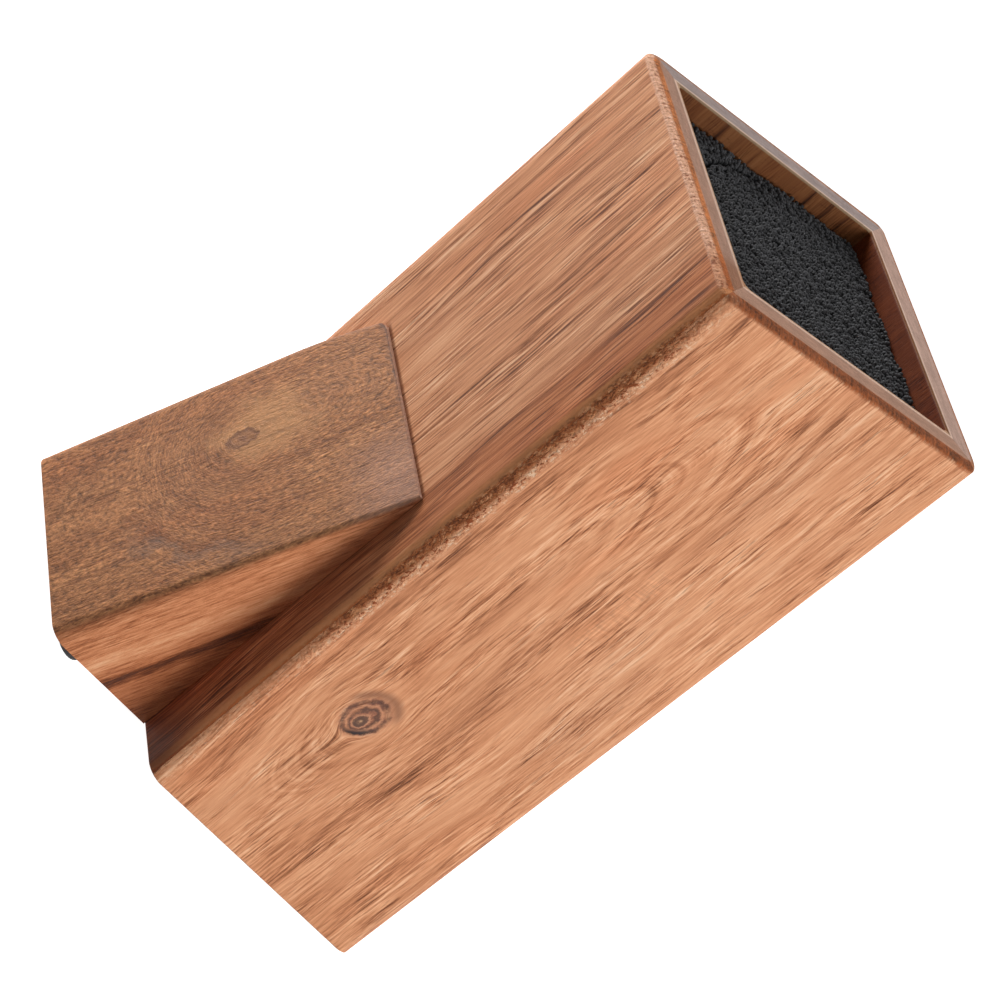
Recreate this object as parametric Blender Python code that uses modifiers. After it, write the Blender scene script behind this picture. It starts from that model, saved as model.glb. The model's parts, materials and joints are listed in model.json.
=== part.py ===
"""A leaning wooden knife block with a lift-out bristle insert, in metres with +Z up.

The hollow tube leans over a wedge-shaped foot. Everything on the tube is placed under the empty tube_axis,
whose origin is the sharp front corner of the rim: its X runs across, its Y from the front board to the back
board, and its Z up along the tube. The front of the block, where the foot stands, is towards world -Y.
"""

import math

import bmesh
import bpy
from mathutils import Matrix

MM = 0.001

# Tube
TUBE_WIDTH = 105.0 * MM
TUBE_DEPTH = 102.7 * MM
FRONT_LENGTH = 215.3 * MM  # from the rim to the underside, along the front board
TUBE_LEAN = math.radians(16.2)
WALL = 10.5 * MM
LONG_EDGE_RADIUS = 4.2 * MM
RIM_RADIUS = 3.6 * MM
MOUTH_CHAMFER = 0.7 * MM

# Foot
FOOT_LEFT, FOOT_RIGHT = -38.9 * MM, 33.9 * MM  # X of its sides at the ground, a little off the middle
FOOT_FLARE = 3.7 * MM  # how far its right side runs out from the ground to the top edge
FOOT_TOP = 103.9 * MM  # from the rim down to the foot's top edge, along the front board
FOOT_ANGLE = math.radians(22.5)  # between the foot's outer face and the front board
FOOT_TIP = 1.3 * MM  # thickness of the wedge at its top edge
FOOT_EDGE_RADIUS = 4.8 * MM

# Inner base and dowels
BASE_THICKNESS = 10.0 * MM
BASE_SETBACK = 1.0 * MM  # the base's front edge stands this far above the cut underside
DOWEL_DIAMETER = 8.0 * MM
DOWEL_LENGTH = 26.0 * MM
DOWEL_IN_BOARD = 7.0 * MM
DOWEL_SPACING = 38.0 * MM
DOWEL_DROP = 76.0 * MM  # from the foot's top edge down to the dowels, along the front board

# Rubber pads
PAD_DIAMETER = 9.0 * MM
PAD_HEIGHT = 2.2 * MM
# How far in from the wood's outer faces the middle of a pad lies
FOOT_PAD_SIDE_INSET, FOOT_PAD_FRONT_INSET = 5.9 * MM, 10.4 * MM
BACK_PAD_SIDE_INSET, BACK_PAD_BACK_INSET = 14.5 * MM, 5.5 * MM

# Bristle insert
BRISTLE_DROP = 5.8 * MM  # from the rim down to the bristle tips
PLATE_THICKNESS = 3.0 * MM
INSERT_PLAY = 0.8 * MM  # between the insert and the walls of the tube
SPLIT_RADIUS = 37.0 * MM  # the main bundle is round about the tube's axis where it meets the corner bundle
SPLIT_START, SPLIT_END = math.radians(180), math.radians(245)
SPLIT_GAP = 0.8 * MM

GAP = 0.3 * MM  # between pieces that touch
PLANE_MARGIN = 40.0 * MM  # how far cutters reach past what they cut
BEVEL_SEGMENTS = 6

UNDERSIDE = PAD_HEIGHT + GAP
LEAN_SIN, LEAN_COS = math.sin(TUBE_LEAN), math.cos(TUBE_LEAN)
BACK_LENGTH = FRONT_LENGTH + TUBE_DEPTH * math.tan(TUBE_LEAN)
HALF_WIDTH = TUBE_WIDTH / 2
RIM_HEIGHT = UNDERSIDE + FRONT_LENGTH * LEAN_COS
RIM_OVERHANG = RIM_RADIUS * (LEAN_SIN + LEAN_COS - 1)  # what rounding takes off the rim's outermost corner
BACK_REACH = TUBE_DEPTH * LEAN_COS + BACK_LENGTH * LEAN_SIN
RIM_FRONT = -(BACK_REACH + RIM_OVERHANG) / 2  # puts the origin in the middle of the block's depth
FOOT_FALL = (FRONT_LENGTH - FOOT_TOP) * LEAN_COS - FOOT_TIP * LEAN_SIN  # height of the foot's outer face
FOOT_FRONT = (
    RIM_FRONT + FOOT_TOP * LEAN_SIN - FOOT_TIP * LEAN_COS - FOOT_FALL * math.tan(FOOT_ANGLE - TUBE_LEAN)
)
FOOT_FACE = FOOT_FALL / math.cos(FOOT_ANGLE - TUBE_LEAN)  # length of the foot's outer face, from top to ground
FOOT_MIDDLE = (FOOT_LEFT + FOOT_RIGHT) / 2
BASE_TOP = -FRONT_LENGTH + BASE_SETBACK + BASE_THICKNESS


def clear_scene():
    for old in list(bpy.data.objects):
        bpy.data.objects.remove(old, do_unlink=True)


def new_collection(name):
    collection = bpy.data.collections.new(name)
    bpy.context.scene.collection.children.link(collection)
    return collection


def material(name, colour, roughness, metallic=0.0):
    made = bpy.data.materials.new(name)
    made.use_nodes = True
    shader = made.node_tree.nodes["Principled BSDF"]
    shader.inputs["Base Color"].default_value = (*colour, 1.0)
    shader.inputs["Roughness"].default_value = roughness
    shader.inputs["Metallic"].default_value = metallic
    return made


def empty(name, location, rotation=(0, 0, 0), parent=None):
    made = bpy.data.objects.new(name, None)
    made.location, made.rotation_euler, made.parent = location, rotation, parent
    PARTS.objects.link(made)
    return made


def mesh_object(name, mesh, parent=None, look=None):
    made = bpy.data.objects.new(name, mesh)
    made.parent = parent
    if look:
        mesh.materials.append(look)
        PARTS.objects.link(made)
    else:
        CUTTERS.objects.link(made)
        made.hide_render = True
        made.display_type = "WIRE"
    return made


def box_mesh(name, low, high):
    """A box between two corners."""
    shape = bmesh.new()
    bmesh.ops.create_cube(shape, size=1.0)
    size = [top - bottom for bottom, top in zip(low, high)]
    middle = [(top + bottom) / 2 for bottom, top in zip(low, high)]
    placed = Matrix.Translation(middle) @ Matrix.Diagonal((*size, 1))
    bmesh.ops.transform(shape, matrix=placed, verts=shape.verts)
    mesh = bpy.data.meshes.new(name)
    shape.to_mesh(mesh)
    shape.free()
    return mesh


def prism_mesh(name, outline, low, high):
    """An outline in X and Y, extruded from low to high along Z."""
    curve = bpy.data.curves.new(name, "CURVE")
    curve.dimensions, curve.fill_mode, curve.extrude = "2D", "BOTH", (high - low) / 2
    spline = curve.splines.new("POLY")
    spline.points.add(len(outline) - 1)
    spline.use_cyclic_u = True
    for point, (x, y) in zip(spline.points, outline):
        point.co = (x, y, 0, 1)
    guide = bpy.data.objects.new(name, curve)
    bpy.context.scene.collection.objects.link(guide)
    graph = bpy.context.evaluated_depsgraph_get()
    mesh = bpy.data.meshes.new_from_object(guide.evaluated_get(graph))
    bpy.data.objects.remove(guide)
    bpy.data.curves.remove(curve)
    shape = bmesh.new()
    shape.from_mesh(mesh)
    bmesh.ops.remove_doubles(shape, verts=shape.verts, dist=0.01 * MM)
    bmesh.ops.translate(shape, verts=shape.verts, vec=(0, 0, (low + high) / 2))
    bmesh.ops.recalc_face_normals(shape, faces=shape.faces)
    shape.to_mesh(mesh)
    shape.free()
    return mesh


def cylinder_mesh(name, diameter, length, sides=24):
    """A cylinder about Z with its middle at the origin."""
    shape = bmesh.new()
    radius = diameter / 2
    bmesh.ops.create_cone(shape, cap_ends=True, segments=sides, radius1=radius, radius2=radius, depth=length)
    mesh = bpy.data.meshes.new(name)
    shape.to_mesh(mesh)
    shape.free()
    return mesh


def weigh_edges(mesh, chosen):
    """Marks the edges whose two ends both pass the test, for a Bevel limited by weight."""
    weights = mesh.attributes.new("bevel_weight_edge", "FLOAT", "EDGE")
    for edge in mesh.edges:
        ends = [mesh.vertices[index].co for index in edge.vertices]
        weights.data[edge.index].value = 1.0 if chosen(*ends) else 0.0


def round_edges(obj, name, width, limit, angle=math.radians(60)):
    bevel = obj.modifiers.new(name, "BEVEL")
    bevel.width, bevel.segments, bevel.limit_method = width, BEVEL_SEGMENTS, limit
    bevel.angle_limit = angle


def cut(obj, cutter, operation="DIFFERENCE"):
    boolean = obj.modifiers.new(cutter.name, "BOOLEAN")
    boolean.operation, boolean.object = operation, cutter


def smooth(obj):
    obj.data.shade_smooth()
    obj.data.set_sharp_from_angle(angle=math.radians(35))


def underside_cutter():
    """Everything below the plane on which the tube and the foot are cut flat."""
    reach = BACK_REACH + PLANE_MARGIN
    mesh = box_mesh("below_underside", (-reach, -reach, -3 * PLANE_MARGIN), (reach, reach, UNDERSIDE))
    return mesh_object("below_underside", mesh)


def tube_blank_mesh():
    """The tube's outer block, longer than the tube at the foot end, with its four long edges marked."""
    low = (-HALF_WIDTH, 0, -BACK_LENGTH - PLANE_MARGIN)
    mesh = box_mesh("tube_blank", low, (HALF_WIDTH, TUBE_DEPTH, 0))
    weigh_edges(mesh, lambda one, other: abs(one.z - other.z) > PLANE_MARGIN)
    return mesh


def mitre_outline(side):
    """The trapezium that holds one board: its slanted sides are the mitres, each half a gap off the plane."""
    across = TUBE_WIDTH if side in ("front", "back") else TUBE_DEPTH
    outer, inner, trim = 5 * MM, WALL + 5 * MM, GAP / 2 * math.sqrt(2)
    half_outer, half_inner = across / 2 + outer - trim, across / 2 - inner - trim
    outline = [(-half_outer, outer), (half_outer, outer), (half_inner, -inner), (-half_inner, -inner)]
    middle = TUBE_DEPTH / 2
    placed = {
        "front": lambda along, out: (along, -out),
        "back": lambda along, out: (along, TUBE_DEPTH + out),
        "right": lambda along, out: (HALF_WIDTH + out, middle + along),
        "left": lambda along, out: (-HALF_WIDTH - out, middle + along),
    }
    return [placed[side](along, out) for along, out in outline]


def cavity_cutter():
    low = (-HALF_WIDTH + WALL, WALL, -BACK_LENGTH - 2 * PLANE_MARGIN)
    high = (HALF_WIDTH - WALL, TUBE_DEPTH - WALL, PLANE_MARGIN)
    return mesh_object("tube_cavity", box_mesh("tube_cavity", low, high), TUBE_AXIS)


def mouth_cutter():
    """A shallow flare that breaks the mouth's inner edge at 45 degrees."""
    depth = MOUTH_CHAMFER + GAP
    low = (-HALF_WIDTH + WALL, WALL, -depth)
    high = (HALF_WIDTH - WALL, TUBE_DEPTH - WALL, depth)
    mesh = box_mesh("mouth_flare", low, high)
    for vertex in mesh.vertices:
        outward = vertex.co.z + MOUTH_CHAMFER
        vertex.co.x += math.copysign(outward, vertex.co.x)
        vertex.co.y += math.copysign(outward, vertex.co.y - TUBE_DEPTH / 2)
    return mesh_object("mouth_flare", mesh, TUBE_AXIS)


def make_boards(below, dowel_holes):
    """Four mitred boards, each the rounded outer block less everything that isn't that board."""
    cavity, flare = cavity_cutter(), mouth_cutter()
    blank = tube_blank_mesh()
    for side in ("front", "right", "back", "left"):
        wedge_name = f"mitres_{side}"
        reach = BACK_LENGTH + 2 * PLANE_MARGIN
        wedge_mesh = prism_mesh(wedge_name, mitre_outline(side), -reach, PLANE_MARGIN)
        wedge = mesh_object(wedge_name, wedge_mesh, TUBE_AXIS)
        board = mesh_object(f"{side}_board", blank.copy(), TUBE_AXIS, WOOD)
        round_edges(board, "long_edges", LONG_EDGE_RADIUS, "WEIGHT")
        round_edges(board, "rim", RIM_RADIUS, "ANGLE")
        cut(board, cavity)
        cut(board, flare)
        cut(board, wedge, "INTERSECT")
        cut(board, below)
        if side == "front":
            for hole in dowel_holes:
                cut(board, hole)
        smooth(board)


def make_base():
    """The board that closes the tube, square to it, with its front edge just above the cut underside."""
    low = (-HALF_WIDTH + WALL + GAP, WALL + GAP, BASE_TOP - BASE_THICKNESS)
    high = (HALF_WIDTH - WALL - GAP, TUBE_DEPTH - WALL - GAP, BASE_TOP)
    mesh_object("inner_base", box_mesh("inner_base", low, high), TUBE_AXIS, WOOD)


def make_foot(below, dowel_holes):
    """A solid wedge under the overhanging front board, rounded on its outer edges and flared on its right."""
    foot_axis = empty("foot_axis", (0, -FOOT_TIP, -FOOT_TOP), (-FOOT_ANGLE, 0, 0), TUBE_AXIS)
    thickness, reach = 3 * PLANE_MARGIN, FRONT_LENGTH
    mesh = box_mesh("foot", (FOOT_LEFT, 0, -reach), (FOOT_RIGHT, thickness, PLANE_MARGIN))
    for vertex in mesh.vertices:
        if vertex.co.x > 0:
            vertex.co.x += FOOT_FLARE * (1 + vertex.co.z / FOOT_FACE)
    weigh_edges(mesh, lambda one, other: max(one.y, other.y) < MM and abs(one.z - other.z) > MM)
    foot = mesh_object("support_foot", mesh, foot_axis, FOOT_WOOD)
    round_edges(foot, "outer_edges", FOOT_EDGE_RADIUS, "WEIGHT")
    side = PLANE_MARGIN + BACK_LENGTH
    above_low, above_high = (-HALF_WIDTH, -side, -FOOT_TOP), (HALF_WIDTH, side, PLANE_MARGIN)
    above = mesh_object("above_foot", box_mesh("above_foot", above_low, above_high), TUBE_AXIS)
    tube_low, tube_high = (-TUBE_WIDTH, -GAP, -2 * side), (TUBE_WIDTH, side, side)
    tube_side = mesh_object("tube_side", box_mesh("tube_side", tube_low, tube_high), TUBE_AXIS)
    for cutter in (above, tube_side, below, *dowel_holes):
        cut(foot, cutter)
    smooth(foot)


def make_dowels():
    """Two dowels across the joint of foot and front board, and the slightly larger holes they sit in."""
    holes = []
    middle = DOWEL_IN_BOARD - DOWEL_LENGTH / 2
    height = -FOOT_TOP - DOWEL_DROP
    for index, shift in enumerate((-DOWEL_SPACING / 2, DOWEL_SPACING / 2), start=1):
        place, turn = (FOOT_MIDDLE + shift, middle, height), (math.pi / 2, 0, 0)
        dowel_mesh = cylinder_mesh("dowel", DOWEL_DIAMETER, DOWEL_LENGTH)
        dowel = mesh_object(f"foot_dowel_{index}", dowel_mesh, TUBE_AXIS, DOWEL_WOOD)
        hole_mesh = cylinder_mesh("dowel_hole", DOWEL_DIAMETER + 2 * GAP, DOWEL_LENGTH + 2 * GAP)
        hole = mesh_object(f"dowel_hole_{index}", hole_mesh, TUBE_AXIS)
        for piece in (dowel, hole):
            piece.location, piece.rotation_euler = place, turn
        smooth(dowel)
        holes.append(hole)
    return holes


def pad_mesh():
    """A low rubber dome, flat on top where it sticks to the wood and flat below where it stands."""
    radius, corner, steps = PAD_DIAMETER / 2, PAD_HEIGHT * 0.6, 4
    profile = [(0, PAD_HEIGHT), (radius, PAD_HEIGHT)]
    for step in range(steps + 1):
        turn = math.pi / 2 * step / steps
        profile.append((radius - corner * (1 - math.cos(turn)), corner * (1 - math.sin(turn))))
    profile.append((0, 0))
    shape = bmesh.new()
    points = [shape.verts.new((x, 0, z)) for x, z in profile]
    for one, other in zip(points, points[1:]):
        shape.edges.new((one, other))
    mesh = bpy.data.meshes.new("pad")
    shape.to_mesh(mesh)
    shape.free()
    return mesh


def make_pads():
    """Four pads: two under the foot's outer corners and two under the cut end of the back board."""
    foot_front = FOOT_FRONT + FOOT_PAD_FRONT_INSET
    back = RIM_FRONT + BACK_REACH - BACK_PAD_BACK_INSET
    tube_half = HALF_WIDTH - BACK_PAD_SIDE_INSET
    places = {
        "pad_foot_left": (FOOT_LEFT + FOOT_PAD_SIDE_INSET, foot_front),
        "pad_foot_right": (FOOT_RIGHT - FOOT_PAD_SIDE_INSET, foot_front),
        "pad_back_left": (-tube_half, back),
        "pad_back_right": (tube_half, back),
    }
    for name, (x, y) in places.items():
        pad = mesh_object(name, pad_mesh(), None, RUBBER)
        pad.location = (x, y, 0)
        screw = pad.modifiers.new("turn", "SCREW")
        screw.steps = screw.render_steps = 24
        screw.use_merge_vertices, screw.merge_threshold = True, 0.01 * MM
        smooth(pad)


def split_outline(retreat):
    """The seam between the two bundles, from the left wall to the front wall, moved into the main bundle."""
    middle, steps = TUBE_DEPTH / 2, 8
    radius, left, front = SPLIT_RADIUS - retreat, -HALF_WIDTH + WALL + INSERT_PLAY, WALL + INSERT_PLAY
    points = [(left, middle + retreat)]
    for step in range(steps + 1):
        turn = SPLIT_START + (SPLIT_END - SPLIT_START) * step / steps
        points.append((radius * math.cos(turn) + retreat, middle + radius * math.sin(turn) + retreat))
    points.append((points[-1][0], front))
    return points


def make_insert():
    """A plate and two bundles of bristles, held here as solids; the whole insert lifts out along the tube."""
    left, right = -HALF_WIDTH + WALL + INSERT_PLAY, HALF_WIDTH - WALL - INSERT_PLAY
    front, back = WALL + INSERT_PLAY, TUBE_DEPTH - WALL - INSERT_PLAY
    bottom = BASE_TOP + GAP
    insert_axis = empty("insert_axis", (0, 0, 0), parent=TUBE_AXIS)
    plate_mesh = box_mesh("insert_plate", (left, front, bottom), (right, back, bottom + PLATE_THICKNESS))
    mesh_object("insert_plate", plate_mesh, insert_axis, BRISTLE)
    rest, tips = bottom + PLATE_THICKNESS + GAP, -BRISTLE_DROP
    main = [(right, front), (right, back), (left, back), *split_outline(SPLIT_GAP)]
    corner = [(left, front), *reversed(split_outline(0))]
    mesh_object("bristles_main", prism_mesh("bristles_main", main, rest, tips), insert_axis, BRISTLE)
    mesh_object("bristles_corner", prism_mesh("bristles_corner", corner, rest, tips), insert_axis, BRISTLE)


clear_scene()
PARTS, CUTTERS = new_collection("knife_block"), new_collection("cutters")
CUTTERS.hide_render = True
WOOD = material("acacia", (0.42, 0.19, 0.085), 0.45)
FOOT_WOOD = material("acacia_foot", (0.33, 0.17, 0.09), 0.55)
DOWEL_WOOD = material("beech_dowel", (0.68, 0.48, 0.29), 0.6)
RUBBER = material("black_rubber", (0.02, 0.02, 0.02), 0.75)
BRISTLE = material("black_bristle", (0.025, 0.025, 0.028), 0.5)

TUBE_AXIS = empty("tube_axis", (0, RIM_FRONT, RIM_HEIGHT), (TUBE_LEAN, 0, 0))
BELOW = underside_cutter()
DOWEL_HOLES = make_dowels()
make_boards(BELOW, DOWEL_HOLES)
make_base()
make_foot(BELOW, DOWEL_HOLES)
make_pads()
make_insert()
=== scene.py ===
"""A leaning acacia knife block with a lift-out bristle insert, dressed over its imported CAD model."""

import json
import math
import random
from dataclasses import dataclass

import bmesh
import bpy
import numpy as np
from mathutils import Matrix, Vector, noise


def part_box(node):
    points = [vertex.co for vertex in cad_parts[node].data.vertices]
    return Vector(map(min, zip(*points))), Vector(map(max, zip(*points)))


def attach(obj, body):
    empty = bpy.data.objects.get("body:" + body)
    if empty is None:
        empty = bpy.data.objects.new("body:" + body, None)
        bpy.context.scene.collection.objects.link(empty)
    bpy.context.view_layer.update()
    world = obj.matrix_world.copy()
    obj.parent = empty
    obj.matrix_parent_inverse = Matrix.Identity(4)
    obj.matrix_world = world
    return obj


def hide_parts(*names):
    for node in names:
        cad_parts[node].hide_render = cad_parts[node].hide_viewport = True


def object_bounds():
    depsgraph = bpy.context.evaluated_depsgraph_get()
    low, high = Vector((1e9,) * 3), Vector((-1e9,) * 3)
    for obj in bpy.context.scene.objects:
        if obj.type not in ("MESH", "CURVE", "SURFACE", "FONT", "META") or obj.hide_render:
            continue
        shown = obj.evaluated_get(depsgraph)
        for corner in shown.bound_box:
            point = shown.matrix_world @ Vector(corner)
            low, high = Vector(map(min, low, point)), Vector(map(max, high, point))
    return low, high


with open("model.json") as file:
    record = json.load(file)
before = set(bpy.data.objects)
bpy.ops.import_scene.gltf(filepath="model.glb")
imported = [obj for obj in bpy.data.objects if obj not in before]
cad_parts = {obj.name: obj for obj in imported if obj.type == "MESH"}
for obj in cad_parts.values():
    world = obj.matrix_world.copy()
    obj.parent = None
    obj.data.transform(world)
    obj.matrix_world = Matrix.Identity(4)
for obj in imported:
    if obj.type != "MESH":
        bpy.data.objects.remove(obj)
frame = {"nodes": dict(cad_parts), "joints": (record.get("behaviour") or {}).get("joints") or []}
CAD_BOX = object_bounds()
MM = 0.001

# ---- Camera, lights and floor

CAMERA_AZIMUTH, CAMERA_ELEVATION, CAMERA_ROLL = 46.64, 13.80, 63.17  # degrees
CAMERA_LENS, CAMERA_DISTANCE = 108.5, 846.6  # mm
CAMERA_AIM = Vector((-2.4, -4.8, 112.2)) * MM

WORLD_STRENGTH = 0.22
LIGHT_AIM = Vector((0, 0, 0.11))
SOFT_BOXES = {  # where each stands, its size in metres and its power
    "key": ((1.45, 0.65, 0.55), 0.9, 23),
    "fill": ((-1.5, -0.95, 0.45), 0.7, 37),
    "top": ((-0.2, 0.3, 1.6), 1.1, 7),
}
FLOOR_REACH, FLOOR_GLOW = 60.0, 0.95


def add_object(name, data):
    made = bpy.data.objects.new(name, data)
    bpy.context.scene.collection.objects.link(made)
    return made


def make_camera():
    """The block seen from its front right corner with the camera rolled over on its side."""
    azimuth, elevation, roll = map(math.radians, (CAMERA_AZIMUTH, CAMERA_ELEVATION, CAMERA_ROLL))
    level = math.cos(elevation)
    look = Vector((-math.sin(azimuth) * level, math.cos(azimuth) * level, -math.sin(elevation)))
    level_right = look.cross(Vector((0, 0, 1))).normalized()
    level_up = level_right.cross(look)
    right = level_right * math.cos(roll) + level_up * math.sin(roll)
    up = right.cross(look)
    turn = Matrix((right, up, -look)).transposed()
    data = bpy.data.cameras.new("camera")
    data.lens, data.sensor_width, data.clip_start = CAMERA_LENS, 36, 0.05
    camera = add_object("camera", data)
    camera.matrix_world = turn.to_4x4()
    camera.location = CAMERA_AIM - look * CAMERA_DISTANCE * MM
    bpy.context.scene.camera = camera


def make_lights():
    """A pale surround and large soft boxes, aimed at the block's middle."""
    world = bpy.data.worlds.new("studio")
    world.use_nodes = True
    background = world.node_tree.nodes["Background"].inputs
    background["Color"].default_value = (1, 1, 1, 1)
    background["Strength"].default_value = WORLD_STRENGTH
    bpy.context.scene.world = world
    for name, (place, size, power) in SOFT_BOXES.items():
        data = bpy.data.lights.new(name, "AREA")
        data.shape, data.size, data.energy = "SQUARE", size, power
        light = add_object(name, data)
        light.location = place
        light.rotation_euler = (LIGHT_AIM - Vector(place)).to_track_quat("-Z", "Y").to_euler()
    bpy.context.scene.view_settings.view_transform = "Standard"

FLOOR_LOOK = {
    "Base Color": (0.95, 0.95, 0.95, 1),
    "Roughness": 0.9,
    "Emission Color": (1, 1, 1, 1),
    "Emission Strength": FLOOR_GLOW,
}


def make_floor():
    """A wide white floor that glows a little, to stay white into the distance, and throws no light back."""
    mesh = bpy.data.meshes.new("floor")
    shape = bmesh.new()
    bmesh.ops.create_grid(shape, x_segments=1, y_segments=1, size=FLOOR_REACH)
    shape.to_mesh(mesh)
    shape.free()
    floor = add_object("floor", mesh)
    look = bpy.data.materials.new("floor_white")
    look.use_nodes = True
    shader = look.node_tree.nodes["Principled BSDF"].inputs
    for name, value in FLOOR_LOOK.items():
        shader[name].default_value = value
    mesh.materials.append(look)
    floor.visible_diffuse = False


# ---- Formulas for materials


def operation(name, swapped=False):
    """A method that adds the Math node of that name; swapped when the number stands before the sign."""

    def method(self, *others):
        return calculate(self.tree, name, *((*others, self) if swapped else (self, *others)))

    return method


class Field:
    """A node's output that takes arithmetic, so that a pattern reads as a formula."""

    def __init__(self, tree, socket):
        self.tree, self.socket = tree, socket

    __add__, __radd__ = operation("ADD"), operation("ADD", swapped=True)
    __sub__, __rsub__ = operation("SUBTRACT"), operation("SUBTRACT", swapped=True)
    __mul__, __rmul__ = operation("MULTIPLY"), operation("MULTIPLY", swapped=True)
    __truediv__, __rtruediv__ = operation("DIVIDE"), operation("DIVIDE", swapped=True)
    root, size = operation("SQRT"), operation("ABSOLUTE")
    least, most = operation("MINIMUM"), operation("MAXIMUM")
    blend_least = operation("SMOOTH_MIN")

    def near(self, middle, reach, core=0.0):
        """1 within core of the middle, falling smoothly to 0 at reach either side."""
        return (self - middle).size().rise(reach, core)

    def rise(self, low, high):
        """0 below low, 1 above high, and smooth between; low may be the larger, for a fall."""
        node = self.tree.nodes.new("ShaderNodeMapRange")
        node.interpolation_type = "SMOOTHSTEP"
        plug(self.tree, node.inputs["Value"], self)
        plug(self.tree, node.inputs["From Min"], low)
        plug(self.tree, node.inputs["From Max"], high)
        return Field(self.tree, node.outputs["Result"])


def plug(tree, socket, value):
    if isinstance(value, Field):
        tree.links.new(value.socket, socket)
    else:
        socket.default_value = value


def hypot(x, y):
    return (x * x + y * y).root()


def calculate(tree, name, *values):
    node = tree.nodes.new("ShaderNodeMath")
    node.operation = name
    for socket, value in zip(node.inputs, values):
        plug(tree, socket, value)
    return Field(tree, node.outputs[0])


def vector(tree, x, y, z):
    node = tree.nodes.new("ShaderNodeCombineXYZ")
    for socket, value in zip(node.inputs, (x, y, z)):
        plug(tree, socket, value)
    return Field(tree, node.outputs[0])


def cloud(tree, x, y, z, detail=2.0, roughness=0.5):
    """Smooth noise about 0, mostly within -1 to 1, of a point that is already scaled."""
    node = tree.nodes.new("ShaderNodeTexNoise")
    plug(tree, node.inputs["Vector"], vector(tree, x, y, z))
    for name, value in (("Scale", 1), ("Detail", detail), ("Roughness", roughness)):
        node.inputs[name].default_value = value
    return (Field(tree, node.outputs[0]) - 0.5) * 3.0


def fine_cloud(tree, x, y, z):
    """The same with crisp detail down to an eighth of the size."""
    return cloud(tree, x, y, z, detail=3, roughness=0.7)


def ramp(tree, field, stops):
    """A colour for each value from 0 to 1, between stops of (place, sRGB colour)."""
    node = tree.nodes.new("ShaderNodeValToRGB")
    plug(tree, node.inputs["Fac"], field)
    elements = node.color_ramp.elements
    while len(elements) > 1:
        elements.remove(elements[-1])
    for index, (place, colour) in enumerate(stops):
        element = elements[0] if index == 0 else elements.new(place)
        element.position = place
        element.color = srgb(*colour)
    return Field(tree, node.outputs["Color"])


def linear(level):
    """An sRGB level of 0 to 255 as linear light."""
    level /= 255
    return level / 12.92 if level <= 0.04045 else ((level + 0.055) / 1.055) ** 2.4


def mix(tree, amount, one, other):
    node = tree.nodes.new("ShaderNodeMix")
    node.data_type, node.clamp_factor = "RGBA", True
    plug(tree, node.inputs["Factor"], amount)
    colours = [socket for socket in node.inputs if socket.type == "RGBA"]
    plug(tree, colours[0], one)
    plug(tree, colours[1], other)
    return Field(tree, [socket for socket in node.outputs if socket.type == "RGBA"][0])


def vector_math(tree, name, first, second, result="Vector"):
    node = tree.nodes.new("ShaderNodeVectorMath")
    node.operation = name
    plug(tree, node.inputs[0], first)
    plug(tree, node.inputs["Scale" if name == "SCALE" else 1], second)
    return Field(tree, node.outputs[result])


def srgb(*colour):
    return (*map(linear, colour), 1)


def shade(tree, colour, factor):
    """A colour times a number that varies over the surface."""
    return vector_math(tree, "SCALE", colour if isinstance(colour, Field) else colour[:3], factor)


def shade_colour(tree, colour, factors):
    """A colour times another colour."""
    return vector_math(tree, "MULTIPLY", colour, factors)


def tint(tree, amount, colour, factors):
    """Multiplies a colour by another, as strongly as amount says."""
    return mix(tree, amount, colour, shade_colour(tree, colour, factors))


def dot(tree, field, axis):
    """How far a vector reaches along an axis."""
    return vector_math(tree, "DOT_PRODUCT", field, axis, "Value")


def place_along(tree, point, axis, origin):
    """How far the shaded point lies along an axis from an origin, in millimetres."""
    return (dot(tree, point, axis) - Vector(axis).dot(Vector(origin))) / MM


def new_material(name):
    """A material, its node tree, and the shaded point's place."""
    made = bpy.data.materials.new(name)
    made.use_nodes = True
    tree = made.node_tree
    return made, tree, Field(tree, tree.nodes.new("ShaderNodeTexCoord").outputs["Object"])


def end_material(tree, colour, roughness, specular, height, relief):
    """Plugs in a material's colour, roughness and bumps; relief is how deep a height of 1 is."""
    shader = tree.nodes["Principled BSDF"].inputs
    plug(tree, shader["Base Color"], colour)
    plug(tree, shader["Roughness"], roughness)
    shader["Specular IOR Level"].default_value = specular
    bump = tree.nodes.new("ShaderNodeBump")
    bump.inputs["Distance"].default_value = relief
    bump.inputs["Strength"].default_value = 1.0
    plug(tree, bump.inputs["Height"], height)
    tree.links.new(bump.outputs["Normal"], shader["Normal"])


# ---- Places and sizes, from the frame

LIFT_AXIS = Vector(frame["joints"][0]["axis"]).normalized()
LEAN_SIN, LEAN_COS = -LIFT_AXIS.y, LIFT_AXIS.z
CAD_RIM_RADIUS, MOUTH_CHAMFER = 3.6 * MM, 0.5 * MM


@dataclass
class Corner:
    """How a corner of the tube is eased, in mm."""

    edge: float  # the radius of its long edge
    reach: float  # how far the rim is rounded inwards
    drop: float  # and how far down


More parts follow.
